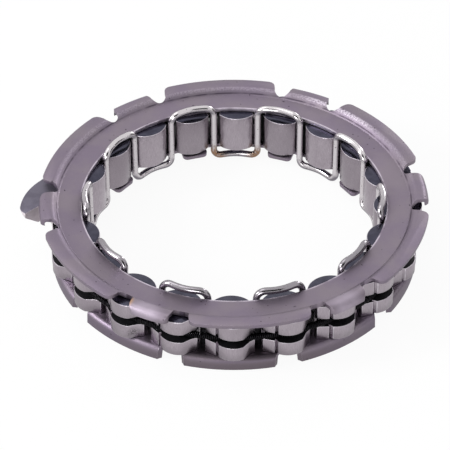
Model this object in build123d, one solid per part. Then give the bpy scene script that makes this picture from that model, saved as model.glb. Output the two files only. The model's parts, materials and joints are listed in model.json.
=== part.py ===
from build123d import *
import math
import os

# Caged sprag clutch. Sizes are in millimetres and angles in degrees.
# The clutch turns about Z, and the origin lies on the axis, midway between the two cage rings.
# Angles round the clutch are counted clockwise from +Y, seen from above. A pocket's own frame
# has its centre line along +Y, so x there is tangential (clockwise positive) and y is radial.

# The two races the clutch works between. They belong to the machine, not to the clutch.
INNER_RACE_D = 53.225
RACE_GAP = 9.1

# Sprags
POCKET_COUNT = 20
SPRAG_LENGTH = 7.8
OUTER_CAM_R = 4.0
INNER_CAM_R = 4.5
CAM_OFFSET = 0.4
HINGE_LAG = 0.3
NOSE_PRELOAD = 0.16
CAM_TOE_ANGLE = -28.0
CAM_SHOULDER_ANGLE = 42.0
HEAD_GAP = 1.3
SHOULDER_SHARE = 0.535
SHOULDER_DROP = 2.7
SHOULDER_LENGTH = 1.9
SHOULDER_RISE = 1.2
SCORE_DEPTH = 0.5
TOE_DROP = 2.6
TOE_LAND = 0.9
TOE_STEP = 0.6
HEAD_EDGE = 0.8
NOSE_SIDE_GAP = 0.32
WAIST_CUT = 1.0

# Sheet metal cage rings
SHEET = 0.75
END_CLEARANCE = 0.1
BEND_R = 1.0

# Upper ring: joggled flange cut into long and short tabs
CREASE_INSET = 2.1
FLANGE_OVERHANG = 1.3
JOGGLE_RISE = 1.1
SHORT_TAB_EDGE_LIFT = 0.15
SHORT_TAB_CREST = 1.5
SHORT_TAB_BEND_R = 0.5
SHORT_TAB_SETBACK = 0.5
TAB_PAIR_COUNT = 6
SHORT_TAB_SPAN = 13.0
FLANGE_NOTCH_WIDTH = 3.2
FLANGE_NOTCH_FLARE = 20.0
SHORT_TAB_PHASE = 24.5
FLANGE_CORNER_R = 1.4

# Lower ring: turned-down lip cut into tabs, and drooping tabs on the inner edge
LIP_CLEARANCE = 0.7
LIP_DROP = 1.95
LIP_DRAFT = 0.2
LIP_NOTCH_WIDTH = 6.2
LIP_NOTCH_FLARE = 0.0
LIP_NOTCH_DEPTH = 1.5
LOWER_RING_TURN = 0.7
LIP_CORNER_R = 0.9
INNER_TAB_WIDTH = 4.9
INNER_TAB_OVERHANG = 0.16
INNER_TAB_ROOT = 0.6
INNER_TAB_DROOP = 8.0
INNER_TAB_CORNER_R = 0.9

# Cage bars between the rings
BAR_WIDTH = 1.0
BAR_SHIFT = 0.35
BAR_DEPTH = 1.7
BAR_TO_HINGE = 0.35
BAR_EDGE = 0.25
BAR_TO_WIRE = 0.93

# Zig-zag wire spring
WIRE_D = 1.25
WIRE_SIDES = 8
WIRE_SEAT_GAP = 0.25
LEG_ANGLE = 9.0
WIRE_TOP_GAP = 0.45
WIRE_BOTTOM_GAP = 0.6
WIRE_CORNER_R = 1.5

# Garter spring in the sprags' middle groove
GARTER_WIRE_D = 1.4
GARTER_CLEARANCE = 0.3
GROOVE_WIDTH = 1.8
GROOVE_FLOOR_R = 4.4
GROOVE_FLOOR_SHIFT = 1.3
GROOVE_FLOOR_CREST = 0.75
GROOVE_INNER_DEPTH = 1.5

# Locating key, which stands in a pocket of its own
KEY_POCKET = 16
KEY_REACH = 4.8
KEY_LUG_HEIGHT = 3.74
KEY_TAPER = 3.2
KEY_INNER_SETBACK = 0.3
KEY_STEM_WIDTH = 6.2
KEY_TIP_LEAN = 1.4
KEY_TIP_DROP = 1.1
KEY_TIP_SAG = 0.25
KEY_FLANK_X = 3.6
KEY_FLANK_DROP = 1.8
KEY_HEEL = 1.4
KEY_THROAT_X = 0.9
KEY_THROAT_DEPTH = 0.3
KEY_CREST_X = 3.2
KEY_BACK_X = 7.3
KEY_BACK_FOOT = 0.6
KEY_SHOULDER_X = 5.4
KEY_STEM_DROP = 2.6
KEY_GROOVE_CLEARANCE = 0.3

# Sizes that follow from those above
INNER_RACE_R = INNER_RACE_D / 2
OUTER_RACE_R = INNER_RACE_R + RACE_GAP
PITCH = 360 / POCKET_COUNT
HINGE_R = OUTER_RACE_R - OUTER_CAM_R
NOSE_CENTRE_R = INNER_RACE_R - NOSE_PRELOAD + INNER_CAM_R
HALF_GAP = SPRAG_LENGTH / 2 + END_CLEARANCE
CAGE_FACE_Z = HALF_GAP + SHEET
RING_INNER_R = HINGE_R - BAR_TO_HINGE - BAR_DEPTH - BAR_TO_WIRE + WIRE_SEAT_GAP
CREASE_R = OUTER_RACE_R - CREASE_INSET
INNER_TAB_TIP_R = INNER_RACE_R - INNER_TAB_OVERHANG
FLANGE_R = OUTER_RACE_R + FLANGE_OVERHANG
LIP_R = OUTER_RACE_R - LIP_CLEARANCE
LEG_R = RING_INNER_R - WIRE_SEAT_GAP - WIRE_D / 2
WIRE_TOP_Z = CAGE_FACE_Z + WIRE_TOP_GAP + WIRE_D / 2
WIRE_BOTTOM_Z = -CAGE_FACE_Z - WIRE_BOTTOM_GAP - WIRE_D / 2
BAR_R = HINGE_R - BAR_TO_HINGE - BAR_DEPTH / 2


def around(shape, angle):
    """Turn a shape clockwise about Z, seen from above."""
    return Rot(0, 0, -angle) * shape


def on_cylinder(radius, angle, height):
    """Point at a radius and clockwise angle from +Y."""
    turn = math.radians(angle)
    return (radius * math.sin(turn), radius * math.cos(turn), height)


def at_radius(x, radius):
    """Point of a pocket's frame at a tangential offset and a radius from the axis."""
    return (x, math.sqrt(radius * radius - x * x))


def wedge(half_angle, inner_r, outer_r, half_height):
    """Sector of an annulus, centred on +Y."""
    far = 2 * outer_r
    side = far * math.tan(math.radians(half_angle))
    sector = make_face(Polyline((0, 0), (-side, far), (side, far), close=True))
    ring = Circle(outer_r) - Circle(inner_r)
    return extrude(ring & sector, half_height, both=True)


HINGE = at_radius(-HINGE_LAG, HINGE_R)
NOSE_CENTRE = at_radius(CAM_OFFSET - HINGE_LAG, NOSE_CENTRE_R)


def cam_point(angle):
    """Point on the outer cam, at an angle clockwise from its crest."""
    turn = math.radians(angle)
    return (HINGE[0] + OUTER_CAM_R * math.sin(turn), HINGE[1] + OUTER_CAM_R * math.cos(turn))


def nose_point(offset):
    """Point on the inner cam, at a tangential offset from its centre."""
    return (NOSE_CENTRE[0] + offset, NOSE_CENTRE[1] - math.sqrt(INNER_CAM_R**2 - offset**2))


def sprag_outline():
    """Section of a sprag: outer cam with scored shoulder and toe, waist, inner cam."""
    head_width = 2 * (OUTER_RACE_R - SHOULDER_DROP) * math.sin(math.radians(PITCH / 2)) - HEAD_GAP
    shoulder_x = head_width * SHOULDER_SHARE
    toe_x = shoulder_x - head_width
    shoulder_y = OUTER_RACE_R - SHOULDER_DROP
    toe_y = OUTER_RACE_R - TOE_DROP
    nose_half = LEG_R * math.sin(math.radians(LEG_ANGLE)) - WIRE_D / 2 - NOSE_SIDE_GAP

    cam_toe = cam_point(CAM_TOE_ANGLE)
    cam_end = cam_point(CAM_SHOULDER_ANGLE)
    shoulder_start = (shoulder_x - SHOULDER_LENGTH, shoulder_y + SHOULDER_RISE)
    score_root = ((cam_end[0] + shoulder_start[0]) / 2, shoulder_start[1] - SCORE_DEPTH)
    shoulder_end = (shoulder_x, shoulder_y)
    heel = (shoulder_x, shoulder_y - HEAD_EDGE)
    nose_lead = nose_point(nose_half)
    nose_tail = nose_point(-nose_half)
    toe_bottom = (toe_x, toe_y - HEAD_EDGE)
    toe_end = (toe_x, toe_y)
    toe_start = (toe_x + TOE_LAND, toe_y + TOE_STEP)
    waist_lead = (nose_lead[0] - WAIST_CUT / 4, (heel[1] + nose_lead[1]) / 2)
    waist_tail = (nose_tail[0] + WAIST_CUT / 4, (toe_bottom[1] + nose_tail[1]) / 2)

    head = Polyline(cam_end, score_root, shoulder_start, shoulder_end, heel)
    toe = Polyline(toe_bottom, toe_end, toe_start, cam_toe)
    edges = ThreePointArc(cam_toe, cam_point(0), cam_end).edges()
    edges += head.edges()
    edges += ThreePointArc(heel, waist_lead, nose_lead).edges()
    edges += ThreePointArc(nose_lead, nose_point(0), nose_tail).edges()
    edges += ThreePointArc(nose_tail, waist_tail, toe_bottom).edges()
    edges += toe.edges()
    return make_face(edges)


def sprag():
    """Sprag in its pocket's frame, grooved across the head for the garter spring."""
    body = extrude(sprag_outline(), SPRAG_LENGTH / 2, both=True)
    floor_centre = (HINGE[0] - GROOVE_FLOOR_SHIFT, HINGE[1] + GROOVE_FLOOR_CREST - GROOVE_FLOOR_R)
    bottom = HINGE[1] - GROOVE_INNER_DEPTH
    height = OUTER_RACE_R - bottom + 1
    groove = Pos(0, bottom + height / 2) * Rectangle(4 * OUTER_CAM_R, height)
    groove -= Pos(*floor_centre) * Circle(GROOVE_FLOOR_R)
    return body - extrude(groove, GROOVE_WIDTH / 2, both=True)


def garter_radius():
    """Radius of the garter spring's centre line, clear of every groove floor."""
    floor_x = HINGE[0] - GROOVE_FLOOR_SHIFT
    floor_y = HINGE[1] + GROOVE_FLOOR_CREST - GROOVE_FLOOR_R
    crest = math.hypot(floor_x, floor_y) + GROOVE_FLOOR_R
    return crest + GARTER_CLEARANCE + GARTER_WIRE_D / 2


def garter_spring():
    """Garter spring as a plain ring of its outside size."""
    section = Pos(garter_radius(), 0, 0) * round_section(GARTER_WIRE_D)
    return revolve(Plane.XZ * section, Axis.Z)


def round_section(diameter):
    """Eight-sided section of a round wire, as wide across its flats as the wire."""
    return RegularPolygon(diameter / 2, WIRE_SIDES, major_radius=False, rotation=180 / WIRE_SIDES)


def sheet_ring(path, side):
    """Ring of sheet metal revolved from the path of one of its surfaces."""
    section = make_face(offset(path, SHEET, side=side).edges())
    return revolve(Plane.XZ * section, Axis.Z)


def notched_disc(outer_r, notch_r, notch_angles, notch_width, flare, corner_r):
    """Disc with round-bottomed notches whose sides each open outward by a flare angle."""
    half = notch_width / 2
    root_y = notch_r + half
    reach = outer_r - notch_r
    mouth = half + reach * math.tan(math.radians(flare))
    notch = make_face(Polyline((-half, root_y), (-mouth, root_y + reach),
                               (mouth, root_y + reach), (half, root_y), close=True))
    notch += Pos(0, root_y) * Circle(half)
    disc = Circle(outer_r)
    for angle in notch_angles:
        disc -= around(notch, angle)
    rim = disc.vertices().filter_by(lambda v: abs(math.hypot(v.X, v.Y) - outer_r) < 0.01)
    return fillet(rim, corner_r)


def flange_notch_angles():
    """Middle of every notch in the upper flange, one on each side of every short tab."""
    reach = SHORT_TAB_SPAN / 2 + math.degrees(math.asin(FLANGE_NOTCH_WIDTH / 2 / CREASE_R))
    middles = [SHORT_TAB_PHASE + 360 / TAB_PAIR_COUNT * k for k in range(TAB_PAIR_COUNT)]
    return [middle + sign * reach for middle in middles for sign in (-1, 1)]


def upper_cage_ring():
    """Flat ring whose flange steps up, in long flat tabs and short curled ones."""
    flat_start = (RING_INNER_R, HALF_GAP)
    crease = (CREASE_R, HALF_GAP)
    step_top = (CREASE_R + JOGGLE_RISE, HALF_GAP + JOGGLE_RISE)
    long_path = FilletPolyline(flat_start, crease, step_top,
                               (FLANGE_R, HALF_GAP + JOGGLE_RISE), radius=(0, BEND_R))
    crest_end = (step_top[0] + SHORT_TAB_CREST, step_top[1])
    edge = (FLANGE_R - SHEET / 2 - SHORT_TAB_SETBACK, HALF_GAP + SHORT_TAB_EDGE_LIFT)
    short_path = FilletPolyline(flat_start, crease, step_top, crest_end, edge,
                                radius=(0, SHORT_TAB_BEND_R, SHORT_TAB_BEND_R))
    outline = notched_disc(FLANGE_R, CREASE_R, flange_notch_angles(), FLANGE_NOTCH_WIDTH,
                           FLANGE_NOTCH_FLARE, FLANGE_CORNER_R)
    plan = extrude(outline, 2 * CAGE_FACE_Z, both=True)
    ring = sheet_ring(long_path, Side.LEFT) & plan
    half_span = SHORT_TAB_SPAN / 2 + math.degrees(math.asin(FLANGE_NOTCH_WIDTH / 2 / CREASE_R))
    root_r = CREASE_R - BEND_R
    cell = wedge(half_span, root_r, 2 * FLANGE_R, 2 * CAGE_FACE_Z)
    curled = sheet_ring(short_path, Side.LEFT) & plan
    for k in range(TAB_PAIR_COUNT):
        place = SHORT_TAB_PHASE + 360 / TAB_PAIR_COUNT * k
        here = around(cell, place)
        ring = ring - here + (curled & here)
    return ring


def inner_tab():
    """Tab that points in and a little down from the lower ring's inner edge, at the +Y side."""
    bite = RING_INNER_R - math.sqrt(RING_INNER_R**2 - INNER_TAB_WIDTH**2 / 4)
    root_r = RING_INNER_R + INNER_TAB_ROOT - bite
    length = root_r - INNER_TAB_TIP_R
    plate = Pos(0, -length / 2) * Rectangle(INNER_TAB_WIDTH, length)
    tip = plate.vertices().filter_by(lambda v: v.Y < -length / 2)
    tab = extrude(fillet(tip, INNER_TAB_CORNER_R), -SHEET)
    return Pos(0, root_r, -HALF_GAP) * Rot(INNER_TAB_DROOP, 0, 0) * tab


def lower_cage_ring():
    """Flat ring with a notched, turned-down lip and an inner tab below every second pocket."""
    lip_foot_z = -CAGE_FACE_Z - LIP_DROP
    path = FilletPolyline((RING_INNER_R, -HALF_GAP), (LIP_R - LIP_DRAFT, -HALF_GAP),
                          (LIP_R, lip_foot_z), radius=BEND_R)
    notches = [PITCH * (2 * k + 1) + LOWER_RING_TURN for k in range(POCKET_COUNT // 2)]
    outline = notched_disc(LIP_R + SHEET, LIP_R - LIP_NOTCH_DEPTH, notches, LIP_NOTCH_WIDTH,
                           LIP_NOTCH_FLARE, LIP_CORNER_R)
    ring = sheet_ring(path, Side.RIGHT) & extrude(outline, 2 * CAGE_FACE_Z, both=True)
    tab = inner_tab()
    for angle in notches:
        ring += around(tab, angle)
    return ring


def cage_bar():
    """Bar between the rings, at the +Y side."""
    bar = Box(BAR_WIDTH, BAR_DEPTH, 2 * HALF_GAP)
    bar = chamfer(bar.edges().filter_by(Axis.Z), BAR_EDGE)
    return Pos(0, BAR_R, 0) * bar


def wire_turn(half_angle, end_z, sign):
    """Turn of the zig-zag over the +Y pocket; sign is 1 over the top, -1 below.

    The run between the two bends is an arc that leaves each bend along its own tangent.
    """
    bend_z = end_z - sign * WIRE_CORNER_R
    section = round_section(WIRE_D)
    bend = Pos(WIRE_CORNER_R, 0, 0) * revolve(Pos(-WIRE_CORNER_R, 0, 0) * section, Axis.Y, 90)
    if sign < 0:
        bend = mirror(bend, Plane.XY)
    start_bend = Pos(*on_cylinder(LEG_R, -half_angle, bend_z)) * Rot(0, 0, half_angle) * bend
    turn = math.radians(half_angle)
    run_x = LEG_R * math.sin(turn) - WIRE_CORNER_R * math.cos(turn)
    run_r = run_x / math.sin(turn)
    run_y = LEG_R * math.cos(turn) + WIRE_CORNER_R * math.sin(turn) - run_x / math.tan(turn)
    run = revolve(Plane.XZ * Pos(run_r, 0, 0) * section, Axis.Z, 2 * half_angle)
    run = Pos(0, run_y, end_z) * Rot(0, 0, 90 - half_angle) * run
    return start_bend + run + mirror(start_bend, Plane.YZ)


def meander_spring():
    """Endless zig-zag wire: over the top of every second pocket and under the others."""
    leg_length = WIRE_TOP_Z - WIRE_BOTTOM_Z - 2 * WIRE_CORNER_R
    leg = extrude(round_section(WIRE_D), leg_length / 2, both=True)
    leg = Pos(0, LEG_R, (WIRE_TOP_Z + WIRE_BOTTOM_Z) / 2) * leg
    top = wire_turn(LEG_ANGLE, WIRE_TOP_Z, 1)
    bottom = wire_turn(PITCH - LEG_ANGLE, WIRE_BOTTOM_Z, -1)
    pieces = []
    for k in range(POCKET_COUNT // 2):
        over = PITCH * (2 * k + 1)
        pieces += [around(top, over), around(bottom, over + PITCH)]
        pieces += [around(leg, over - LEG_ANGLE), around(leg, over + LEG_ANGLE)]
    return pieces[0].fuse(*pieces[1:])


def key_outline():
    """Section of the locating key: stem in the pocket and a lug that leans past the rim."""
    rim = OUTER_RACE_R
    half = KEY_STEM_WIDTH / 2
    inner_y = RING_INNER_R + KEY_INNER_SETBACK
    tip = (-KEY_TIP_LEAN, rim + KEY_REACH)
    flank_top = (-KEY_FLANK_X, rim + KEY_REACH - KEY_TIP_DROP)
    flank_crown = (-(KEY_TIP_LEAN + KEY_FLANK_X) / 2 - KEY_TIP_SAG, rim + KEY_REACH - KEY_TIP_SAG)
    flank_foot = (-KEY_TIP_LEAN, rim + KEY_HEEL)
    throat = (-KEY_THROAT_X, rim - KEY_THROAT_DEPTH)
    back = (KEY_BACK_X - KEY_HEEL / 2, rim + KEY_HEEL)
    back_crown = (KEY_CREST_X, rim + KEY_REACH - KEY_TIP_DROP)
    back_foot = (KEY_BACK_X, rim - KEY_BACK_FOOT)
    shoulder = (KEY_SHOULDER_X, rim - KEY_HEEL)
    edges = ThreePointArc(flank_top, flank_crown, tip).edges()
    edges += ThreePointArc(tip, back_crown, back).edges()
    edges += ThreePointArc(back, (KEY_BACK_X, rim + KEY_BACK_FOOT), back_foot).edges()
    edges += Polyline(back_foot, shoulder, (half, rim - KEY_STEM_DROP), (half, inner_y)).edges()
    edges += ThreePointArc((half, inner_y), (0, inner_y - KEY_TIP_SAG), (-half, inner_y)).edges()
    edges += Polyline((-half, inner_y), (-half, rim - KEY_FLANK_DROP), throat, flank_foot,
                      flank_top).edges()
    return make_face(edges)


def locating_key():
    """Key in its pocket's frame: full height in the cage, a tapered lug outside it."""
    block = extrude(key_outline(), HALF_GAP, both=True)
    lug_z = HALF_GAP - KEY_LUG_HEIGHT
    lug_r = OUTER_RACE_R + KEY_REACH
    stem_room = Cylinder(OUTER_RACE_R - 1.0, 2 * HALF_GAP)
    taper = Cone(lug_r - KEY_TAPER, lug_r + 0.1, KEY_LUG_HEIGHT)
    room = stem_room + Pos(0, 0, lug_z + KEY_LUG_HEIGHT / 2) * taper
    reach = GARTER_WIRE_D / 2 + KEY_GROOVE_CLEARANCE
    groove_ring = Circle(garter_radius() + reach) - Circle(garter_radius() - reach)
    return (block & room) - extrude(groove_ring, GROOVE_WIDTH / 2, both=True)


def write(name, shape):
    """Write one named piece."""
    shape.label = name
    export_step(shape, f"parts/{name}.step")


def main():
    os.makedirs("parts", exist_ok=True)
    write("upper_cage_ring", upper_cage_ring())
    write("lower_cage_ring", lower_cage_ring())
    write("meander_spring", meander_spring())
    write("garter_spring", garter_spring())
    one_sprag = sprag()
    one_bar = cage_bar()
    bar_lead = math.degrees(BAR_SHIFT / BAR_R)
    for pocket in range(1, POCKET_COUNT + 1):
        angle = PITCH * (pocket - 1)
        if pocket == KEY_POCKET:
            write("locating_key", around(locating_key(), angle))
        else:
            write(f"sprag_{pocket:02d}", around(one_sprag, angle))
        write(f"cage_bar_{pocket:02d}", around(one_bar, angle + PITCH / 2 + bar_lead))


if __name__ == "__main__":
    main()
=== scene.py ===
"""Looks of a caged sprag clutch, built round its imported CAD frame.

Each sub-assembly is a class that makes its meshes and gives them their finishes. Lengths of the
clutch's pieces and patterns are millimetres, and MM turns them to Blender's metres. Angles round
the clutch are degrees clockwise from +Y, seen from above, and the clutch's axis is Z.
"""

import json
import logging
import math
from dataclasses import dataclass
from enum import Enum
from typing import Any, Callable, Iterable

import bpy
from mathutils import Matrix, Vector

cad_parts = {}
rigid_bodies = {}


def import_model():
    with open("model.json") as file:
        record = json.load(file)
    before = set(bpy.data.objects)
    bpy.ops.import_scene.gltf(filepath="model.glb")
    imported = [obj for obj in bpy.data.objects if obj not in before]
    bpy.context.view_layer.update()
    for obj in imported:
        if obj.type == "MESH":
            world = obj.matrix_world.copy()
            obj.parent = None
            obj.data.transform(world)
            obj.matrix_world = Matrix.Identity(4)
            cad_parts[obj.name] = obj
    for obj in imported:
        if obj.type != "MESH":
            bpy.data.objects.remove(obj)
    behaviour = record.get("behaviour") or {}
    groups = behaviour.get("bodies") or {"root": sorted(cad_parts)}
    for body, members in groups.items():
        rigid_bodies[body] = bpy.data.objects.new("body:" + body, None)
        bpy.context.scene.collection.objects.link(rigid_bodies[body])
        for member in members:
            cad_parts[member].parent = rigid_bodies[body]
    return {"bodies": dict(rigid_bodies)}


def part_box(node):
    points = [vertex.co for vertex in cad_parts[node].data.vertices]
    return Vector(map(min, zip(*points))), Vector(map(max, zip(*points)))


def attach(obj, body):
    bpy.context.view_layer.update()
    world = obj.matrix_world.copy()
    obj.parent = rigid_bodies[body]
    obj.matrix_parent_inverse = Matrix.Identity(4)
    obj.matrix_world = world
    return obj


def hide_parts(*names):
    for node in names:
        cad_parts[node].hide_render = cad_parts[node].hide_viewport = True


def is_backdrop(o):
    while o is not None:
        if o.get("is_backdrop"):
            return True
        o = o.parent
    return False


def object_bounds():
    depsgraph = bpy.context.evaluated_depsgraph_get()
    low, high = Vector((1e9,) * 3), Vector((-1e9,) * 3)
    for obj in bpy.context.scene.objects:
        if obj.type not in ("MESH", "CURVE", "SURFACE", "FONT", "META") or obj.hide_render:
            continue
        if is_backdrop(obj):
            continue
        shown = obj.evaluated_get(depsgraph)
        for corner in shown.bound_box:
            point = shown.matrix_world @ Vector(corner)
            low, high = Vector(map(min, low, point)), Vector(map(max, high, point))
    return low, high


LOG = logging.getLogger("sprag_clutch")
MM = 0.001
WHITE = (1.0, 1.0, 1.0, 1.0)
# Sockets of a colour mix: the two colours that go in, and the one that comes out.
MIX_UNDER, MIX_OVER, MIX_RESULT = 6, 7, 2

# Points of a mesh nearer than this are one point, in millimetres.
MERGE = 0.0005
# Faces that turn less than this are one flat face, edges past EDGE_ANGLE are rounded, and shading
# is smooth up to SMOOTH_ANGLE, in degrees.
FLAT_ANGLE = 0.4
EDGE_ANGLE = 32
SMOOTH_ANGLE = 36
# A face lies level where its normal's Z is past this.
LEVEL = 0.9

Tree = bpy.types.NodeTree
Socket = bpy.types.NodeSocket
Material = bpy.types.Material
Piece = bpy.types.Object
# A ready mask, or a value with the number where its mask is blank and the one where it is full.
Part = Socket | tuple[Socket, float, float]
Span = tuple[float, float]


class Slot(Enum):
    """Names of the record's material slots."""

    CAGE = "cage_sheet"
    SPRAG = "sprag_steel"
    WIRE = "spring_wire"


@dataclass(frozen=True)
class Spot:
    """A round place on the clutch, in millimetres."""

    x: float
    y: float
    z: float
    radius: float
    # Share of the radius within which a mark is at its full strength.
    core: float = 0.25


def linear(hex_colour: str) -> tuple[float, float, float, float]:
    """Turn an sRGB hex colour into linear RGBA.

    Args:
        hex_colour: six hex digits.

    Returns:
        Linear red, green and blue, and an alpha of 1.
    """
    channels = [int(hex_colour[i : i + 2], 16) / 255 for i in (0, 2, 4)]
    lit = [c / 12.92 if c <= 0.04045 else ((c + 0.055) / 1.055) ** 2.4 for c in channels]
    return (lit[0], lit[1], lit[2], 1.0)


def add_node(
    tree: Tree,
    kind: str,
    settings: dict[str | int, Any] | None = None,
    links: dict[str | int, Socket] | None = None,
) -> bpy.types.Node:
    """Add a shader node with its settings and links.

    Args:
        tree: node tree it goes in.
        kind: the node's type name.
        settings: values by input name or number, or by property name.
        links: output sockets by the input they feed.

    Returns:
        The new node.
    """
    node = tree.nodes.new(kind)
    for name, value in (settings or {}).items():
        if isinstance(name, int) or name in node.inputs:
            node.inputs[name].default_value = value
        else:
            setattr(node, name, value)
    for name, socket in (links or {}).items():
        tree.links.new(socket, node.inputs[name])
    return node


def new_material(name: str) -> tuple[Material, Tree, Socket]:
    """Make an empty node material.

    Args:
        name: the finish's name.

    Returns:
        The material, its node tree, and Object coordinates.
    """
    material = bpy.data.materials.new(name)
    material.use_nodes = True
    tree = material.node_tree
    tree.nodes.clear()
    place = add_node(tree, "ShaderNodeTexCoord").outputs["Object"]
    return material, tree, place


def reach(length: Socket, span: Span) -> tuple[Socket, float, float]:
    """Return a mask's range of a length, whose blank and full ends are given in millimetres."""
    return (length, span[0] * MM, span[1] * MM)


def mask(tree: Tree, *parts: Part, share: float = 1.0) -> Socket:
    """Multiply masks and eased ranges of values into one mask.

    Args:
        tree: node tree.
        parts: ready masks, and values with their blank and full ends.
        share: strength of the whole mask.

    Returns:
        The mask, from 0 to the share.
    """
    whole = None
    for part in parts:
        if isinstance(part, tuple):
            value, blank, full = part
            ends = {"From Min": blank, "From Max": full, "interpolation_type": "SMOOTHSTEP"}
            part = add_node(tree, "ShaderNodeMapRange", ends, {"Value": value}).outputs["Result"]
        if whole is not None:
            both = {0: whole, 1: part}
            part = add_node(tree, "ShaderNodeMath", {"operation": "MULTIPLY"}, both).outputs[0]
        whole = part
    if share < 1.0:
        strength = {"operation": "MULTIPLY", 1: share}
        whole = add_node(tree, "ShaderNodeMath", strength, {0: whole}).outputs[0]
    return whole


def paint(tree: Tree, under: Socket | str, over: Socket | str, *parts: Part) -> Socket:
    """Lay one colour over another where a mask is full.

    Args:
        tree: node tree.
        under: colour socket or hex colour.
        over: colour socket or hex colour.
        parts: what the mask is made of.

    Returns:
        The painted colour.
    """
    mix = add_node(tree, "ShaderNodeMix", {"data_type": "RGBA"}, {"Factor": mask(tree, *parts)})
    for number, colour in ((MIX_UNDER, under), (MIX_OVER, over)):
        if isinstance(colour, str):
            mix.inputs[number].default_value = linear(colour)
        else:
            tree.links.new(colour, mix.inputs[number])
    return mix.outputs[MIX_RESULT]


def speckle(
    tree: Tree,
    place: Socket,
    size: float,
    stretch: tuple[float, float, float] = (1.0, 1.0, 1.0),
    detail: float = 3.0,
) -> Socket:
    """Noise whose spots have a real size.

    Args:
        tree: node tree.
        place: coordinates in metres.
        size: width of a spot in millimetres.
        stretch: how much the pattern is squeezed along each axis; 0.1 makes long streaks.
        detail: octaves of finer noise.

    Returns:
        The noise, about 0 to 1.
    """
    mapped = add_node(tree, "ShaderNodeMapping", {"Scale": stretch}, {"Vector": place})
    settings = {"Scale": 1 / (size * MM), "Detail": detail, "Roughness": 0.55}
    noise = add_node(tree, "ShaderNodeTexNoise", settings, {"Vector": mapped.outputs["Vector"]})
    return noise.outputs["Fac"]


def near_spot(tree: Tree, place: Socket, spot: Spot) -> Socket:
    """Mask that is 1 in the middle of a spot and 0 past its edge.

    Args:
        tree: node tree.
        place: coordinates in metres.
        spot: where and how wide.

    Returns:
        The mask.
    """
    middle = (spot.x * MM, spot.y * MM, spot.z * MM)
    settings = {"operation": "DISTANCE", 1: middle}
    far = add_node(tree, "ShaderNodeVectorMath", settings, {0: place}).outputs["Value"]
    return mask(tree, reach(far, (spot.radius, spot.radius * spot.core)))


def radius_of(tree: Tree, place: Socket) -> Socket:
    """Distance from the clutch's axis, in metres.

    Args:
        tree: node tree.
        place: coordinates in metres.

    Returns:
        The distance.
    """
    level = {"operation": "MULTIPLY", 1: (1, 1, 0)}
    flat = add_node(tree, "ShaderNodeVectorMath", level, {0: place}).outputs[0]
    length = add_node(tree, "ShaderNodeVectorMath", {"operation": "LENGTH"}, {0: flat})
    return length.outputs["Value"]


def aside_of(tree: Tree, place: Socket) -> Socket:
    """Distance to either side of the clutch's middle line, in metres.

    Args:
        tree: node tree.
        place: coordinates in metres.

    Returns:
        The distance.
    """
    across = add_node(tree, "ShaderNodeSeparateXYZ", links={0: place}).outputs["X"]
    return add_node(tree, "ShaderNodeMath", {"operation": "ABSOLUTE"}, {0: across}).outputs[0]


def seen_rays(tree: Tree) -> Socket:
    """Mask that is 1 for what the camera sees directly, or in metal and glass.

    Args:
        tree: node tree.

    Returns:
        The mask.
    """
    rays = add_node(tree, "ShaderNodeLightPath").outputs
    seen = rays["Is Camera Ray"]
    for name in ("Is Glossy Ray", "Is Transmission Ray"):
        either = {0: seen, 1: rays[name]}
        seen = add_node(tree, "ShaderNodeMath", {"operation": "MAXIMUM"}, either).outputs[0]
    return seen


def finish_metal(
    tree: Tree,
    colour: Socket,
    gloss: Socket,
    roughness: Span,
    relief: Socket,
    depth: float,
    metallic: float = 1.0,
) -> None:
    """Close a metal's node tree with its shader, bump and output.

    Args:
        tree: node tree.
        colour: base colour.
        gloss: pattern that the roughness follows.
        roughness: roughness where that pattern is 0 and where it is 1.
        relief: height pattern of the surface.
        depth: height of that pattern, in millimetres.
        metallic: how far the surface is bare metal.
    """
    swing = {"operation": "MULTIPLY_ADD", 1: roughness[1] - roughness[0], 2: roughness[0]}
    rough = add_node(tree, "ShaderNodeMath", swing, {0: gloss}).outputs[0]
    height = {"Strength": 1.0, "Distance": depth * MM}
    bump = add_node(tree, "ShaderNodeBump", height, {"Height": relief}).outputs["Normal"]
    links = {"Base Color": colour, "Roughness": rough, "Normal": bump}
    shader = add_node(tree, "ShaderNodeBsdfPrincipled", {"Metallic": metallic}, links)
    add_node(tree, "ShaderNodeOutputMaterial", links={"Surface": shader.outputs["BSDF"]})


@dataclass(frozen=True)
class PatchySteel:
    """Steel in two tones that drift into each other in patches."""

    name: str
    colour: str
    shade: str
    roughness: Span
    # Width of the patches, and where in their noise one tone gives way to the other.
    patch: float
    turn: Span
    # Height of the surface's tooth, and width of its grains. With no width it follows the patches.
    relief: float
    grain: float = 0.0
    metallic: float = 1.0

    def build(self) -> Material:
        """Make the finish.

        Returns:
            The material.
        """
        material, tree, place = new_material(self.name)
        patches = speckle(tree, place, self.patch)
        grain = speckle(tree, place, self.grain, detail=2.0) if self.grain else patches
        colour = paint(tree, self.colour, self.shade, (patches, *self.turn))
        finish_metal(tree, colour, patches, self.roughness, grain, self.relief, self.metallic)
        return material


@dataclass(frozen=True)
class EdgeWearAndHighlight(PatchySteel):
    """Rounded edge, paler and smoother than the faces beside it: wear from tumbling, and a painted
    highlight.
    """

    name: str = "worn_and_highlit_steel_edge"
    colour: str = "C9C3CA"
    shade: str = "ABA3AD"
    roughness: Span = (0.25, 0.35)
    patch: float = 1.2
    turn: Span = (0.4, 0.7)
    relief: float = 0.002


@dataclass(frozen=True)
class TumbledEnd(PatchySteel):
    """Hardened steel as tumbled: dark blue-grey, smooth and slightly glossy, with fine pits.

    The real pits are too fine to show. They are drawn 0.12 mm wide.
    """

    name: str = "tumbled_hard_steel"
    colour: str = "4C4B59"
    shade: str = "41404D"
    roughness: Span = (0.18, 0.3)
    patch: float = 2.0
    turn: Span = (0.35, 0.65)
    relief: float = 0.003
    grain: float = 0.12


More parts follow.
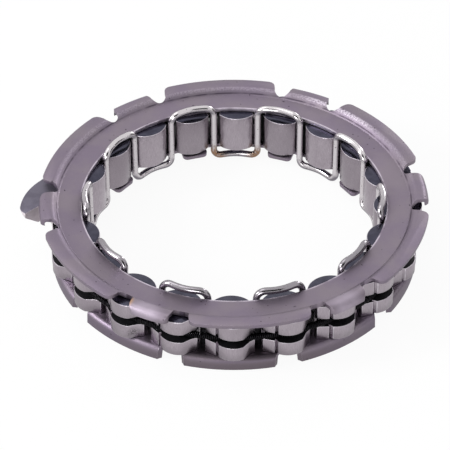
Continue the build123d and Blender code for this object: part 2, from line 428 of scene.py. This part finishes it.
@dataclass(frozen=True)
class GrooveShade(PatchySteel):
    """Groove left as turned, and the cage's bars: near black, as painted shade where little light
    reaches.
    """

    name: str = "groove_shade_black"
    colour: str = "1B1A1F"
    shade: str = "0F0E12"
    roughness: Span = (0.5, 0.6)
    patch: float = 0.8
    turn: Span = (0.3, 0.7)
    relief: float = 0.003
    metallic: float = 0.6


@dataclass(frozen=True)
class NearBlackWire(PatchySteel):
    """Spring wire: near black, with a soft sheen."""

    name: str = "near_black_spring_wire"
    colour: str = "212023"
    shade: str = "161518"
    roughness: Span = (0.35, 0.45)
    patch: float = 0.7
    turn: Span = (0.35, 0.65)
    relief: float = 0.001


@dataclass(frozen=True)
class KeySteel:
    """Key steel, tumbled grey with fine grain; its far paler copy on the key's sides is painted
    light.
    """

    name: str = "tumbled_key_steel"
    colour: str = "726E7B"
    shade: str = "66626F"
    wear: str = "827C8A"
    roughness: Span = (0.52, 0.64)
    cloud: float = 2.6
    cloud_turn: Span = (0.35, 0.65)
    grain: float = 0.16
    grain_turn: Span = (0.6, 0.85)
    relief: float = 0.004

    def build(self) -> Material:
        """Make the finish.

        Returns:
            The material.
        """
        material, tree, place = new_material(self.name)
        clouds = speckle(tree, place, self.cloud)
        grain = speckle(tree, place, self.grain, detail=2.0)
        colour = paint(tree, self.colour, self.shade, (clouds, *self.cloud_turn))
        colour = paint(tree, colour, self.wear, (grain, *self.grain_turn))
        finish_metal(tree, colour, grain, self.roughness, grain, self.relief)
        return material


@dataclass(frozen=True)
class NitridedSheet:
    """Nitrided and tumbled strip steel: satin grey with a purple cast and fine pits.

    The nitride's tooth is a few microns wide and wouldn't show. It is drawn 0.16 mm wide.
    """

    name: str = "nitrided_strip_steel"
    colour: str = "857B85"
    shade: str = "7F7483"
    cloud: float = 7.0
    cloud_turn: Span = (0.35, 0.65)
    dust: str = "9A8F9C"
    grain: float = 0.16
    grain_turn: Span = (0.6, 0.85)
    roughness: Span = (0.42, 0.58)
    relief: float = 0.008
    pit: str = "3A343D"
    pit_size: float = 0.5
    pit_turn: Span = (0.84, 0.87)
    # The lower ring's lip has painted shade towards its edge, less so at the two sides.
    lip_shade: str = "786E76"
    lip_shade_height: Span = (-4.6, -5.6)
    lip_shade_aside: Span = (26.0, 8.0)
    # Painted shade lies on the lower ring's ledge and the bend below it, near the middle line.
    ledge_shade: str = "5B535A"
    ledge_shade_height: Span = (-3.2, -3.6)
    ledge_shade_radius: Span = (31.0, 32.5)
    ledge_shade_upward: Span = (0.05, 0.5)
    ledge_shade_aside: Span = (15.0, 9.0)
    # The upper ring's step has painted shade in patches at its foot, and painted highlights on its
    # riser and along the inner rim.
    upper: Span = (3.0, 3.6)
    crease_shade: str = "544B57"
    crease_radius: float = 33.6
    crease_off: Span = (0.17, 0.04)
    patch: float = 3.0
    patch_turn: Span = (0.3, 0.6)
    bright: str = "C1B8C4"
    riser_inside: Span = (33.85, 34.1)
    riser_outside: Span = (34.85, 34.6)
    riser_back: Span = (-2.0, 16.0)
    riser_share: float = 0.24
    riser_spot: Spot = Spot(20.6, 27.2, 5.0, 13.0)
    sparkle: float = 0.3
    sparkle_turn: Span = (0.35, 0.62)
    rim_radius: Span = (29.31, 29.15)
    # Patchy painted highlights on two short tabs.
    tab_highlight: str = "A89DAB"
    tab_highlight_turn: Span = (0.1, 0.6)
    tab_highlights: tuple[Spot, ...] = ()
    rust: str = "BE9468"
    rust_spots: tuple[Spot, ...] = ()

    def shade_ledge(self, tree: Tree, place: Socket, colour: Socket) -> Socket:
        """Paint shade on the lower ring's ledge and its bend.

        Args:
            tree: node tree.
            place: coordinates in metres.
            colour: colour of the sheet.

        Returns:
            The shaded colour.
        """
        normal = add_node(tree, "ShaderNodeNewGeometry").outputs["Normal"]
        upward = add_node(tree, "ShaderNodeSeparateXYZ", links={0: normal}).outputs["Z"]
        height = add_node(tree, "ShaderNodeSeparateXYZ", links={0: place}).outputs["Z"]
        return paint(
            tree,
            colour,
            self.ledge_shade,
            reach(height, self.ledge_shade_height),
            (upward, *self.ledge_shade_upward),
            reach(radius_of(tree, place), self.ledge_shade_radius),
            reach(aside_of(tree, place), self.ledge_shade_aside),
        )

    def paint_step_and_rim_light(self, tree: Tree, place: Socket, colour: Socket) -> Socket:
        """Paint shade at the foot of the upper ring's step, and highlights on its riser and rim.

        Args:
            tree: node tree.
            place: coordinates in metres.
            colour: colour of the sheet.

        Returns:
            The colour with its painted shade and highlights.
        """
        radius = radius_of(tree, place)
        axes = add_node(tree, "ShaderNodeSeparateXYZ", links={0: place}).outputs
        upper = mask(tree, reach(axes["Z"], self.upper))
        patches = mask(tree, (speckle(tree, place, self.patch, detail=2.0), *self.patch_turn))
        minus = {"operation": "SUBTRACT", 1: self.crease_radius * MM}
        off = add_node(tree, "ShaderNodeMath", minus, {0: radius}).outputs[0]
        off = add_node(tree, "ShaderNodeMath", {"operation": "ABSOLUTE"}, {0: off}).outputs[0]
        # Painted shade in patches along the step's foot.
        colour = paint(tree, colour, self.crease_shade, reach(off, self.crease_off), upper, patches)
        # Painted highlights: on the riser, faint towards the back and full at one spot, then on the
        # rim.
        faint = mask(tree, reach(axes["Y"], self.riser_back), share=self.riser_share)
        either = {0: faint, 1: near_spot(tree, place, self.riser_spot)}
        wear_and_highlight = add_node(tree, "ShaderNodeMath", {"operation": "MAXIMUM"}, either).outputs[0]
        sparkle = (speckle(tree, place, self.sparkle, detail=2.0), *self.sparkle_turn)
        inside = reach(radius, self.riser_inside)
        outside = reach(radius, self.riser_outside)
        colour = paint(tree, colour, self.bright, inside, outside, upper, wear_and_highlight, sparkle)
        return paint(tree, colour, self.bright, reach(radius, self.rim_radius), upper, patches)

    def build(self) -> Material:
        """Make the finish.

        Returns:
            The material.
        """
        material, tree, place = new_material(self.name)
        clouds = speckle(tree, place, self.cloud)
        grain = speckle(tree, place, self.grain, detail=2.0)
        pits = speckle(tree, place, self.pit_size, detail=0.0)
        colour = paint(tree, self.colour, self.shade, (clouds, *self.cloud_turn))
        # Painted shade on the lower ring's lip.
        height = add_node(tree, "ShaderNodeSeparateXYZ", links={0: place}).outputs["Z"]
        aside = reach(aside_of(tree, place), self.lip_shade_aside)
        colour = paint(tree, colour, self.lip_shade, reach(height, self.lip_shade_height), aside)
        colour = paint(tree, colour, self.dust, (grain, *self.grain_turn))
        colour = self.shade_ledge(tree, place, colour)
        colour = self.paint_step_and_rim_light(tree, place, colour)
        colour = paint(tree, colour, self.pit, (pits, *self.pit_turn))
        # Painted highlights on two short tabs.
        for spot in self.tab_highlights:
            near = near_spot(tree, place, spot)
            colour = paint(tree, colour, self.tab_highlight, near, (clouds, *self.tab_highlight_turn))
        for spot in self.rust_spots:
            colour = paint(tree, colour, self.rust, near_spot(tree, place, spot))
        finish_metal(tree, colour, grain, self.roughness, grain, self.relief)
        return material


@dataclass(frozen=True)
class GroundCam:
    """Ground bearing steel: bright grey, with grinding lines along the sprag.

    The real lines are microns apart and wouldn't show. They are drawn 0.09 mm wide.
    """

    name: str = "ground_bearing_steel"
    colour: str = "A89FA7"
    shade: str = "968D95"
    # Colour of the stain specks, and of the painted shade on the inner cam.
    stain_and_shade: str = "776F76"
    line: float = 0.09
    line_stretch: float = 0.1
    line_turn: Span = (0.3, 0.75)
    tone: float = 9.0
    tone_turn: Span = (0.45, 0.75)
    cloud: float = 2.2
    cloud_stretch: float = 0.5
    cloud_turn: Span = (0.5, 0.85)
    speck: float = 0.25
    speck_turn: Span = (0.72, 0.8)
    roughness: Span = (0.2, 0.4)
    relief: float = 0.0006
    # Strength of the painted shade on the inner cam, under the wire's top loops, and the radii
    # between which it fades.
    nose_shade: float = 0.0
    nose_radius: Span = (31.0, 29.5)
    smudge: str = "1F1D20"
    smudge_turn: Span = (0.42, 0.52)
    smudges: tuple[Spot, ...] = ()

    def build(self) -> Material:
        """Make the finish.

        Returns:
            The material.
        """
        material, tree, place = new_material(self.name)
        lines = speckle(tree, place, self.line, stretch=(1.0, 1.0, self.line_stretch))
        clouds = speckle(tree, place, self.cloud, stretch=(1.0, 1.0, self.cloud_stretch))
        specks = speckle(tree, place, self.speck, detail=1.0)
        tone = speckle(tree, place, self.tone, detail=1.0)
        colour = paint(tree, self.colour, self.shade, (lines, *self.line_turn))
        colour = paint(tree, colour, self.shade, (tone, *self.tone_turn))
        colour = paint(tree, colour, self.shade, (clouds, *self.cloud_turn))
        colour = paint(tree, colour, self.stain_and_shade, (specks, *self.speck_turn))
        # Painted shade on the inner cam.
        nose = reach(radius_of(tree, place), self.nose_radius)
        colour = paint(tree, colour, self.stain_and_shade, mask(tree, nose, share=self.nose_shade))
        for spot in self.smudges:
            near = near_spot(tree, place, spot)
            colour = paint(tree, colour, self.smudge, near, (specks, *self.smudge_turn))
        finish_metal(tree, colour, lines, self.roughness, lines, self.relief)
        return material


@dataclass(frozen=True)
class DrawnWire:
    """Drawn spring wire: grey, paler inside its legs with wear and a painted highlight, with
    painted highlights on its crowns, and heat tinted.

    Real drawing marks are too fine to show. They are drawn 0.2 mm wide.
    """

    name: str = "drawn_spring_wire"
    colour: str = "757078"
    # Paler colour: wear and painted highlight inside the legs, painted highlight on the crowns.
    wear_and_highlight: str = "D0CBCE"
    speck: str = "4C4649"
    speck_size: float = 0.4
    speck_turn: Span = (0.68, 0.76)
    scratch: float = 0.2
    scratch_stretch: float = 0.3
    # Roughness as drawn, and where the legs are rubbed.
    roughness: Span = (0.2, 0.46)
    relief: float = 0.0002
    # Height over the middle where the legs end and the runs over and under the pockets begin.
    leg: Span = (5.0, 4.0)
    leg_facing: Span = (0.0, 0.36)
    crown_upward: Span = (-0.15, 0.4)
    # The crowns carry a painted highlight, full at the back, and keep this share of it at the
    # front.
    highlight_back: Span = (-8.0, 8.0)
    highlight_front: float = 0.3
    tint: str = "8A6A50"
    tint_turn: Span = (0.25, 0.55)
    tint_spots: tuple[Spot, ...] = ()

    def build(self) -> Material:
        """Make the finish.

        Returns:
            The material.
        """
        material, tree, place = new_material(self.name)
        normal = add_node(tree, "ShaderNodeNewGeometry").outputs["Normal"]
        upward = add_node(tree, "ShaderNodeSeparateXYZ", links={0: normal}).outputs["Z"]
        to_axis = {"operation": "MULTIPLY", 1: (-1, -1, 0)}
        flat = add_node(tree, "ShaderNodeVectorMath", to_axis, {0: place}).outputs[0]
        inward = add_node(tree, "ShaderNodeVectorMath", {"operation": "NORMALIZE"}, {0: flat})
        both = {0: inward.outputs[0], 1: normal}
        facing = add_node(tree, "ShaderNodeVectorMath", {"operation": "DOT_PRODUCT"}, both)
        axes = add_node(tree, "ShaderNodeSeparateXYZ", links={0: place}).outputs
        off_middle = add_node(tree, "ShaderNodeMath", {"operation": "ABSOLUTE"}, {0: axes["Z"]})
        high = off_middle.outputs[0]
        # Wear and a painted highlight on the inner side of the legs, fading towards the wire's
        # sides.
        leg_wear_and_highlight = mask(tree, (facing.outputs["Value"], *self.leg_facing), reach(high, self.leg))
        # Painted highlight on the upper side of the runs, full at the back.
        back = mask(tree, reach(axes["Y"], self.highlight_back))
        gain = {"operation": "MULTIPLY_ADD", 1: 1 - self.highlight_front, 2: self.highlight_front}
        crown_highlight_share = add_node(tree, "ShaderNodeMath", gain, {0: back}).outputs[0]
        run = reach(high, self.leg[::-1])
        crown_highlight = mask(tree, (upward, *self.crown_upward), run, crown_highlight_share)
        either = {0: leg_wear_and_highlight, 1: crown_highlight}
        bright = add_node(tree, "ShaderNodeMath", {"operation": "ADD"}, either).outputs[0]
        scratches = speckle(tree, place, self.scratch, stretch=(1.0, 1.0, self.scratch_stretch))
        specks = speckle(tree, place, self.speck_size, detail=1.0)
        colour = paint(tree, self.colour, self.wear_and_highlight, bright)
        colour = paint(tree, colour, self.speck, (specks, *self.speck_turn))
        for spot in self.tint_spots:
            near = near_spot(tree, place, spot)
            colour = paint(tree, colour, self.tint, near, (scratches, *self.tint_turn))
        finish_metal(tree, colour, leg_wear_and_highlight, self.roughness, scratches, self.relief)
        return material


def deselect() -> None:
    """Leave object mode with nothing selected."""
    if bpy.context.object and bpy.context.object.mode != "OBJECT":
        bpy.ops.object.mode_set(mode="OBJECT")
    bpy.ops.object.select_all(action="DESELECT")


def activate(piece: Piece) -> None:
    """Select one piece alone and make it active.

    Args:
        piece: the piece.
    """
    deselect()
    piece.select_set(True)
    bpy.context.view_layer.objects.active = piece


def apply_modifier(piece: Piece, kind: str, **settings: Any) -> None:
    """Add a modifier and apply it.

    Args:
        piece: the mesh it works on.
        kind: Blender's modifier type.
        settings: the modifier's properties.
    """
    activate(piece)
    modifier = piece.modifiers.new(kind.lower(), kind)
    for name, value in settings.items():
        setattr(modifier, name, value)
    bpy.ops.object.modifier_apply(modifier=modifier.name)


def cad_copy(node: str, name: str) -> Piece:
    """Copy a CAD node's mesh as one closed, merged shell with large flat faces.

    Args:
        node: the CAD node.
        name: the new piece's name.

    Returns:
        The piece.
    """
    piece = bpy.data.objects.new(name, bpy.data.objects[node].data.copy())
    piece.data.materials.clear()
    bpy.context.scene.collection.objects.link(piece)
    activate(piece)
    bpy.ops.mesh.customdata_custom_splitnormals_clear()
    bpy.ops.object.mode_set(mode="EDIT")
    bpy.ops.mesh.select_all(action="SELECT")
    bpy.ops.mesh.remove_doubles(threshold=MERGE * MM)
    bpy.ops.mesh.dissolve_limited(angle_limit=math.radians(FLAT_ANGLE))
    bpy.ops.object.mode_set(mode="OBJECT")
    return piece


def dress(
    piece: Piece,
    finishes: list[Material],
    choose: Callable[[bpy.types.MeshPolygon], int],
    edge_width: float,
) -> None:
    """Round a piece's sharp edges and give each face its finish.

    Args:
        piece: the mesh.
        finishes: materials; the last is for the rounded edges.
        choose: gives a face the number of its material.
        edge_width: width of the rounded edges, in millimetres.
    """
    for material in finishes:
        piece.data.materials.append(material)
    for face in piece.data.polygons:
        face.material_index = choose(face)
    apply_modifier(
        piece,
        "BEVEL",
        width=edge_width * MM,
        segments=2,
        limit_method="ANGLE",
        angle_limit=math.radians(EDGE_ANGLE),
        material=len(finishes) - 1,
        use_clamp_overlap=True,
    )
    activate(piece)
    bpy.ops.object.shade_smooth_by_angle(angle=math.radians(SMOOTH_ANGLE))


def hand_over(piece: Piece, body: str, slot: Slot, *nodes: str) -> None:
    """Fix a finished piece to its body in place of its CAD nodes.

    Args:
        piece: the finished piece.
        body: the CAD body it moves with.
        slot: the record's slot for its finish; not used.
        nodes: CAD nodes it stands for.
    """
    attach(piece, body)
    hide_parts(*nodes)
    triangles = sum(len(face.vertices) - 2 for face in piece.data.polygons)
    LOG.info("%s: %d triangles on %s", piece.name, triangles, body)


@dataclass
class Cage:
    """The two stamped rings and the bars between them."""

    edge: float = 0.14
    bar_edge: float = 0.06
    bar_trail: float = 0.35
    bar_lead: float = 0.1

    def widen(self, bar: Piece) -> None:
        """Fill more of the gap between two sprags, as far as their tilt allows.

        Args:
            bar: a cage bar.
        """
        vertices = bar.data.vertices
        middle = sum((vertex.co for vertex in vertices), Vector()) / len(vertices)
        clockwise = Vector((middle.y, -middle.x, 0)).normalized()
        for vertex in vertices:
            ahead = (vertex.co - middle).dot(clockwise) > 0
            vertex.co += clockwise * (self.bar_lead if ahead else -self.bar_trail) * MM

    def build(self, sheet: Material, wear_and_highlight: Material, black: Material) -> None:
        """Make the rings and bars.

        Args:
            sheet: finish of the strip.
            wear_and_highlight: finish of its edges.
            black: finish of the bars, deep in the cage, near black as painted shade.
        """
        for node in ("upper_cage_ring", "lower_cage_ring"):
            ring = cad_copy(node, node.replace("cage_ring", "stamped_ring"))
            dress(ring, [sheet, wear_and_highlight], lambda face: 0, self.edge)
            hand_over(ring, "cage", Slot.CAGE, node)
        for node in sorted(n for n in bpy.data.objects.keys() if n.startswith("cage_bar_")):
            bar = cad_copy(node, node.replace("cage_bar", "bar"))
            self.widen(bar)
            dress(bar, [black, black], lambda face: 0, self.bar_edge)
            hand_over(bar, "cage", Slot.CAGE, node)


@dataclass
class Sprags:
    """The tilting sprags, each ground on its cams and grooved across its head."""

    edge: float = 0.1
    # A level face is an end where it lies past end_height, and otherwise a side of the groove. The
    # groove's floor lies below groove_height and past head_radius.
    end_height: float = 3.8
    groove_height: float = 0.882
    head_radius: float = 29.5

    def face_finish(self, face: bpy.types.MeshPolygon) -> int:
        """Choose the finish of a sprag's face.

        Args:
            face: the face.

        Returns:
            1 for an end, 2 for the groove, and 0 for a ground side.
        """
        height = abs(face.center.z)
        if abs(face.normal.z) > LEVEL:
            return 1 if height > self.end_height * MM else 2
        low = height < self.groove_height * MM
        return 2 if low and face.center.length > self.head_radius * MM else 0

    def build(
        self, ground: tuple[Material, Material], others: list[Material], bodies: Iterable[str]
    ) -> None:
        """Make every sprag.

        Args:
            ground: ground finish of the even sprags, with painted shade on the inner cam, and the
                odd.
            others: end, groove and edge finishes.
            bodies: names of the frame's bodies.
        """
        for body in sorted(b for b in bodies if b.startswith("sprag_")):
            sprag = cad_copy(body, f"ground_{body}")
            side = ground[int(body.removeprefix("sprag_")) % 2]
            dress(sprag, [side, *others], self.face_finish, self.edge)
            hand_over(sprag, body, Slot.SPRAG, body)


@dataclass
class LocatingKey:
    """The key that stands in a pocket of the cage and drops into the outer race."""

    edge: float = 0.16

    def build(self, finishes: list[Material]) -> None:
        """Make the key.

        Args:
            finishes: side, end and edge finishes.
        """
        key = cad_copy("locating_key", "hardened_key")
        dress(key, finishes, lambda face: 1 if abs(face.normal.z) > LEVEL else 0, self.edge)
        hand_over(key, "cage", Slot.SPRAG, "locating_key")


def on_cylinder(radius: float, angle: float, height: float) -> Vector:
    """Return the point at a radius, clockwise angle from +Y and height, in metres."""
    turn = math.radians(angle)
    return Vector((radius * math.sin(turn), radius * math.cos(turn), height)) * MM


def closed_wire(
    name: str, points: list[Vector], width: float, sides: int, finish: Material
) -> Piece:
    """Make a closed tube of wire along points, from a circle bent to them.

    Args:
        name: the piece's name.
        points: the centre line, in metres.
        width: the wire's diameter, in millimetres.
        sides: faces round the wire, in fours.
        finish: the wire's finish.

    Returns:
        The tube as a mesh.
    """
    deselect()
    bpy.ops.mesh.primitive_circle_add(vertices=len(points), radius=1.0)
    path = bpy.context.object
    path.name = name
    for vertex, point in zip(path.data.vertices, points):
        vertex.co = point
    bpy.ops.object.convert(target="CURVE")
    path = bpy.context.object
    path.data.bevel_depth = width / 2 * MM
    path.data.bevel_resolution = sides // 4 - 1
    path.data.twist_mode = "MINIMUM"
    bpy.ops.object.convert(target="MESH")
    wire = bpy.context.object
    bpy.ops.object.mode_set(mode="EDIT")
    bpy.ops.mesh.select_all(action="SELECT")
    bpy.ops.mesh.remove_doubles(threshold=MERGE * MM)
    bpy.ops.mesh.normals_make_consistent(inside=False)
    bpy.ops.object.mode_set(mode="OBJECT")
    wire.data.materials.append(finish)
    activate(wire)
    bpy.ops.object.shade_smooth()
    return wire


@dataclass
class ZigzagSpring:
    """The endless zig-zag wire that holds the sprags against the inner race."""

    loops: int = 10
    wire: float = 1.34
    radius: float = 28.105
    half_angle: float = 9.05
    top_z: float = 5.775
    bottom_z: float = -5.95
    top_corner: float = 1.75
    bottom_corner: float = 1.4
    bow: float = 0.2
    # How far the loops' runs lean, and how far the lean's phase moves on from loop to loop.
    lean: float = 0.12
    top_phase: float = 2.3
    bottom_phase: float = 1.7
    corner_steps: int = 7
    run_steps: int = 7
    sides: int = 16

    def loop(self, middle: float, half: float, end_z: float, lean: float) -> list[Vector]:
        """Points over one pocket, from the middle of one leg to just before the next.

        Args:
            middle: angle of the pocket.
            half: half the angle between the loop's legs.
            end_z: height of the loop's run.
            lean: how far this loop's run leans, in millimetres.

        Returns:
            Points in metres.
        """
        sign = 1 if end_z > 0 else -1
        corner = self.top_corner if end_z > 0 else self.bottom_corner
        arc = math.degrees(corner / self.radius)
        rise = []
        for step in range(self.corner_steps + 1):
            turn = math.pi / 2 * step / self.corner_steps
            height = end_z - sign * corner * (1 - math.sin(turn))
            rise.append((half - arc * (1 - math.cos(turn)), height))
        run = [-1 + 2 * step / self.run_steps for step in range(1, self.run_steps)]
        points = [(middle - across, height) for across, height in rise]
        points += [(middle + (half - arc) * share, end_z) for share in run]
        points += [(middle + across, height) for across, height in reversed(rise)]
        placed = []
        for angle, height in points:
            across = (angle - middle) / half
            lift = max(0.0, 1 - abs(end_z - height) / corner)
            bow = self.bow * math.cos(math.pi * across) + lean * across
            placed.append(on_cylinder(self.radius + lift * bow, angle, height))
        return placed

    def build(self, finish: Material) -> None:
        """Make the spring.

        Args:
            finish: the wire's finish.
        """
        pitch = 180 / self.loops
        under = pitch - self.half_angle
        points: list[Vector] = []
        for k in range(self.loops):
            over = pitch * (2 * k + 1)
            lean = self.lean * math.sin(self.top_phase * k)
            points += self.loop(over, self.half_angle, self.top_z, lean)
            lean = self.lean * math.sin(self.bottom_phase * k)
            points += self.loop(over + pitch, under, self.bottom_z, lean)
        wire = closed_wire("zigzag_wire", points, self.wire, self.sides, finish)
        hand_over(wire, "cage", Slot.WIRE, "meander_spring")


@dataclass
class GarterSpring:
    """The coil spring that lies in the sprags' groove and ties them to the cage."""

    outside: float = 1.4
    wire: float = 0.34
    coil_pitch: float = 0.36
    # The coil stays this far inside the spring's outside size.
    slack: float = 0.01
    steps: int = 10
    sides: int = 4

    def build(self, finish: Material) -> None:
        """Make the coiled spring.

        Args:
            finish: the wire's finish.
        """
        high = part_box("garter_spring")[1]
        ring_r = high.x / MM - self.outside / 2
        coil_r = (self.outside - self.wire) / 2 - self.slack
        turns = round(2 * math.pi * ring_r / self.coil_pitch)
        points = []
        for step in range(turns * self.steps):
            around = 360 * step / (turns * self.steps)
            coil = 2 * math.pi * step / self.steps
            radius = ring_r + coil_r * math.cos(coil)
            points.append(on_cylinder(radius, around, coil_r * math.sin(coil)))
        spring = closed_wire("garter_coil", points, self.wire, self.sides, finish)
        hand_over(spring, "cage", Slot.WIRE, "garter_spring")


def for_metal_only(card: Piece, finish: Material) -> None:
    """Give a stage piece its finish, and let only reflections see it.

    Args:
        card: the stage piece.
        finish: its finish.
    """
    card.data.materials.append(finish)
    card.visible_camera = False
    card.visible_diffuse = False
    card.visible_shadow = False
    card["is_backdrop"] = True


@dataclass
class Lamp:
    """A square soft lamp that faces the clutch. Its place and size are metres."""

    name: str
    place: tuple[float, float, float]
    size: float
    power: float

    def build(self) -> None:
        """Hang the lamp."""
        deselect()
        bpy.ops.object.light_add(type="AREA", location=self.place)
        lamp = bpy.context.object
        lamp.name = self.name
        lamp.data.size = self.size
        lamp.data.energy = self.power
        lamp.rotation_euler = (-Vector(self.place)).to_track_quat("-Z", "Y").to_euler()


@dataclass
class DarkCard:
    """A black card that only metal sees, for the dark lines along polished wire, in metres."""

    name: str
    place: tuple[float, float, float]
    size: tuple[float, float]
    colour: str = "0A0A0C"

    def build(self) -> None:
        """Stand the card up, facing the clutch."""
        deselect()
        bpy.ops.mesh.primitive_plane_add(size=1.0, location=self.place)
        card = bpy.context.object
        card.name = self.name
        card.scale = (*self.size, 1.0)
        card.rotation_euler = (-Vector(self.place)).to_track_quat("Z", "Y").to_euler()
        material, tree, _ = new_material(self.name)
        dark = {"Color": linear(self.colour), "Strength": 1.0}
        black = add_node(tree, "ShaderNodeEmission", dark).outputs["Emission"]
        add_node(tree, "ShaderNodeOutputMaterial", links={"Surface": black})
        for_metal_only(card, material)


@dataclass
class ContactShade:
    """A soft dark ring on the table under the rim, which only metal sees."""

    name: str = "contact_shade"
    inner: float = 31.0
    outer: float = 41.0
    sheet: float = 53.3
    lift: float = 0.02
    sides: int = 96
    depth: float = 0.3
    black: float = 0.02

    def build(self, floor_z: float) -> None:
        """Lay the ring just above the table.

        Args:
            floor_z: height of the table, in metres.
        """
        deselect()
        place_z = floor_z + self.lift * MM
        bpy.ops.mesh.primitive_circle_add(
            vertices=self.sides, radius=self.sheet * MM, fill_type="NGON", location=(0, 0, place_z)
        )
        shade = bpy.context.object
        shade.name = self.name
        material, tree, place = new_material(self.name)
        far = add_node(tree, "ShaderNodeVectorMath", {"operation": "LENGTH"}, {0: place})
        middle = (self.inner + self.outer) / 2
        rise = reach(far.outputs["Value"], (self.inner, middle))
        fall = reach(far.outputs["Value"], (self.outer, middle))
        dark = {"Color": (self.black, self.black, self.black, 1), "Strength": 1.0}
        black = add_node(tree, "ShaderNodeEmission", dark).outputs["Emission"]
        clear = add_node(tree, "ShaderNodeBsdfTransparent").outputs["BSDF"]
        links = {0: mask(tree, rise, fall, share=self.depth), 1: clear, 2: black}
        mix = add_node(tree, "ShaderNodeMixShader", links=links)
        add_node(tree, "ShaderNodeOutputMaterial", links={"Surface": mix.outputs["Shader"]})
        for_metal_only(shade, material)


@dataclass
class Studio:
    """White table, soft lamps and the camera, in metres and degrees.

    The lens and the sensor are millimetres, as on a camera, and the shift is a share of the frame.
    """

    elevation: float = 39.4
    azimuth: float = 0.7
    distance: float = 0.493
    lens: float = 206.7
    sensor: float = 36.0
    nearest: float = 0.01
    shift: tuple[float, float] = (-0.02, -0.01222)
    table_size: float = 6.0
    table_white: float = 0.85
    room_light: float = 0.66
    shadow_share: float = 0.07
    lamps: tuple[Lamp, ...] = (
        Lamp("overhead_softbox", (-0.35, 0.2, 0.8), 0.5, 1.3),
        Lamp("left_softbox", (-0.7, -0.12, 0.4), 0.22, 4.2),
        Lamp("front_softbox", (-0.2, -0.75, 0.18), 0.3, 2.0),
        Lamp("back_right_softbox", (0.4, 0.7, 0.25), 0.2, 1.2),
    )
    cards: tuple[DarkCard, ...] = (
        DarkCard("camera_side_card", (0.05, -0.38, 0.33), (0.46, 0.4)),
        DarkCard("right_dark_card", (0.5, 0.05, 0.12), (0.3, 0.22)),
    )

    def build(self, floor_z: float) -> None:
        """Set up the table, world, lamps and camera.

        Args:
            floor_z: height of the table, in metres.
        """
        deselect()
        bpy.ops.mesh.primitive_plane_add(size=self.table_size, location=(0, 0, floor_z))
        table = bpy.context.object
        table.name = "table"
        table.data.materials.append(self.table_finish())
        table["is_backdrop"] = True
        ContactShade().build(floor_z)
        self.build_world()
        for lamp in self.lamps:
            lamp.build()
        for card in self.cards:
            card.build()
        self.build_camera()

    def table_finish(self) -> Material:
        """Make white card that shows as white and keeps a faint shadow.

        Returns:
            The material.
        """
        material, tree, _ = new_material("white_card")
        pale = (self.table_white, self.table_white, self.table_white, 1)
        card = add_node(tree, "ShaderNodeBsdfDiffuse", {"Color": pale}).outputs["BSDF"]
        glow = add_node(tree, "ShaderNodeEmission", {"Color": WHITE, "Strength": 1.0})
        seen = mask(tree, seen_rays(tree), share=1 - self.shadow_share)
        links = {0: seen, 1: card, 2: glow.outputs["Emission"]}
        mix = add_node(tree, "ShaderNodeMixShader", links=links)
        add_node(tree, "ShaderNodeOutputMaterial", links={"Surface": mix.outputs["Shader"]})
        return material

    def build_world(self) -> None:
        """Surround the clutch with a plain grey room that the camera sees as white."""
        world = bpy.data.worlds.new("room")
        bpy.context.scene.world = world
        world.use_nodes = True
        tree = world.node_tree
        tree.nodes.clear()
        grey = {"Color": WHITE, "Strength": self.room_light}
        room = add_node(tree, "ShaderNodeBackground", grey).outputs[0]
        white = add_node(tree, "ShaderNodeBackground", {"Color": WHITE, "Strength": 1.0}).outputs[0]
        mix = add_node(tree, "ShaderNodeMixShader", links={0: seen_rays(tree), 1: room, 2: white})
        add_node(tree, "ShaderNodeOutputWorld", links={"Surface": mix.outputs[0]})
        bpy.context.scene.view_settings.view_transform = "Standard"

    def build_camera(self) -> None:
        """Place the camera, with the clutch a little off the frame's middle."""
        rise = math.radians(self.elevation)
        swing = math.radians(self.azimuth)
        level = math.cos(rise)
        away = Vector((math.sin(swing) * level, -math.cos(swing) * level, math.sin(rise)))
        deselect()
        bpy.ops.object.camera_add(location=away * self.distance)
        camera = bpy.context.object
        camera.rotation_euler = (-away).to_track_quat("-Z", "Y").to_euler()
        camera.data.lens = self.lens
        camera.data.sensor_width = self.sensor
        camera.data.shift_x, camera.data.shift_y = self.shift
        camera.data.clip_start = self.nearest
        bpy.context.scene.camera = camera


def box_as_list(bounds: Any) -> list[list[float]]:
    """Return a box's two corners as plain lists."""
    return [[float(value) for value in corner] for corner in bounds]


def main() -> None:
    """Build the clutch's looks round the frame."""
    logging.basicConfig(level=logging.INFO, format="%(message)s")
    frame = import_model()
    cad_box = box_as_list(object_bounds())

    # Handling marks: rust beside a notch, a smudge on one front sprag, and heat tint at both
    # corners of the wire's lower loop at the back. Two short tabs take patchy painted highlights.
    tab_highlights = (Spot(-16.0, -33.2, 5.6, 4.5), Spot(20.9, -30.2, 5.6, 4.2))
    rust_spots = (Spot(-19.2, -30.2, 5.8, 1.9),)
    smudges = (Spot(-17.8, -30.6, -2.6, 2.0),)
    tint_spots = (Spot(-4.2, 28.0, -5.6, 3.4), Spot(4.4, 28.0, -5.6, 3.2))

    sheet = NitridedSheet(tab_highlights=tab_highlights, rust_spots=rust_spots).build()
    wear_and_highlight = EdgeWearAndHighlight().build()
    bright = GroundCam(smudges=smudges).build()
    # The even sprags' inner cams take painted shade, under the wire's top loops.
    nose_shaded_cam = GroundCam("nose_shaded_bearing_steel", nose_shade=0.42, smudges=smudges).build()
    groove = GrooveShade().build()
    # The key's sides take a far paler copy of its steel: painted light.
    lit_key_side = KeySteel("lit_key_side_steel", "DDD6DA", "CBC3C7", "E4DEE2").build()

    Cage().build(sheet, wear_and_highlight, groove)
    Sprags().build((nose_shaded_cam, bright), [TumbledEnd().build(), groove, wear_and_highlight], frame["bodies"])
    LocatingKey().build([lit_key_side, KeySteel().build(), wear_and_highlight])
    ZigzagSpring().build(DrawnWire(tint_spots=tint_spots).build())
    GarterSpring().build(NearBlackWire().build())
    Studio().build(cad_box[0][2])


if __name__ == "__main__":
    main()
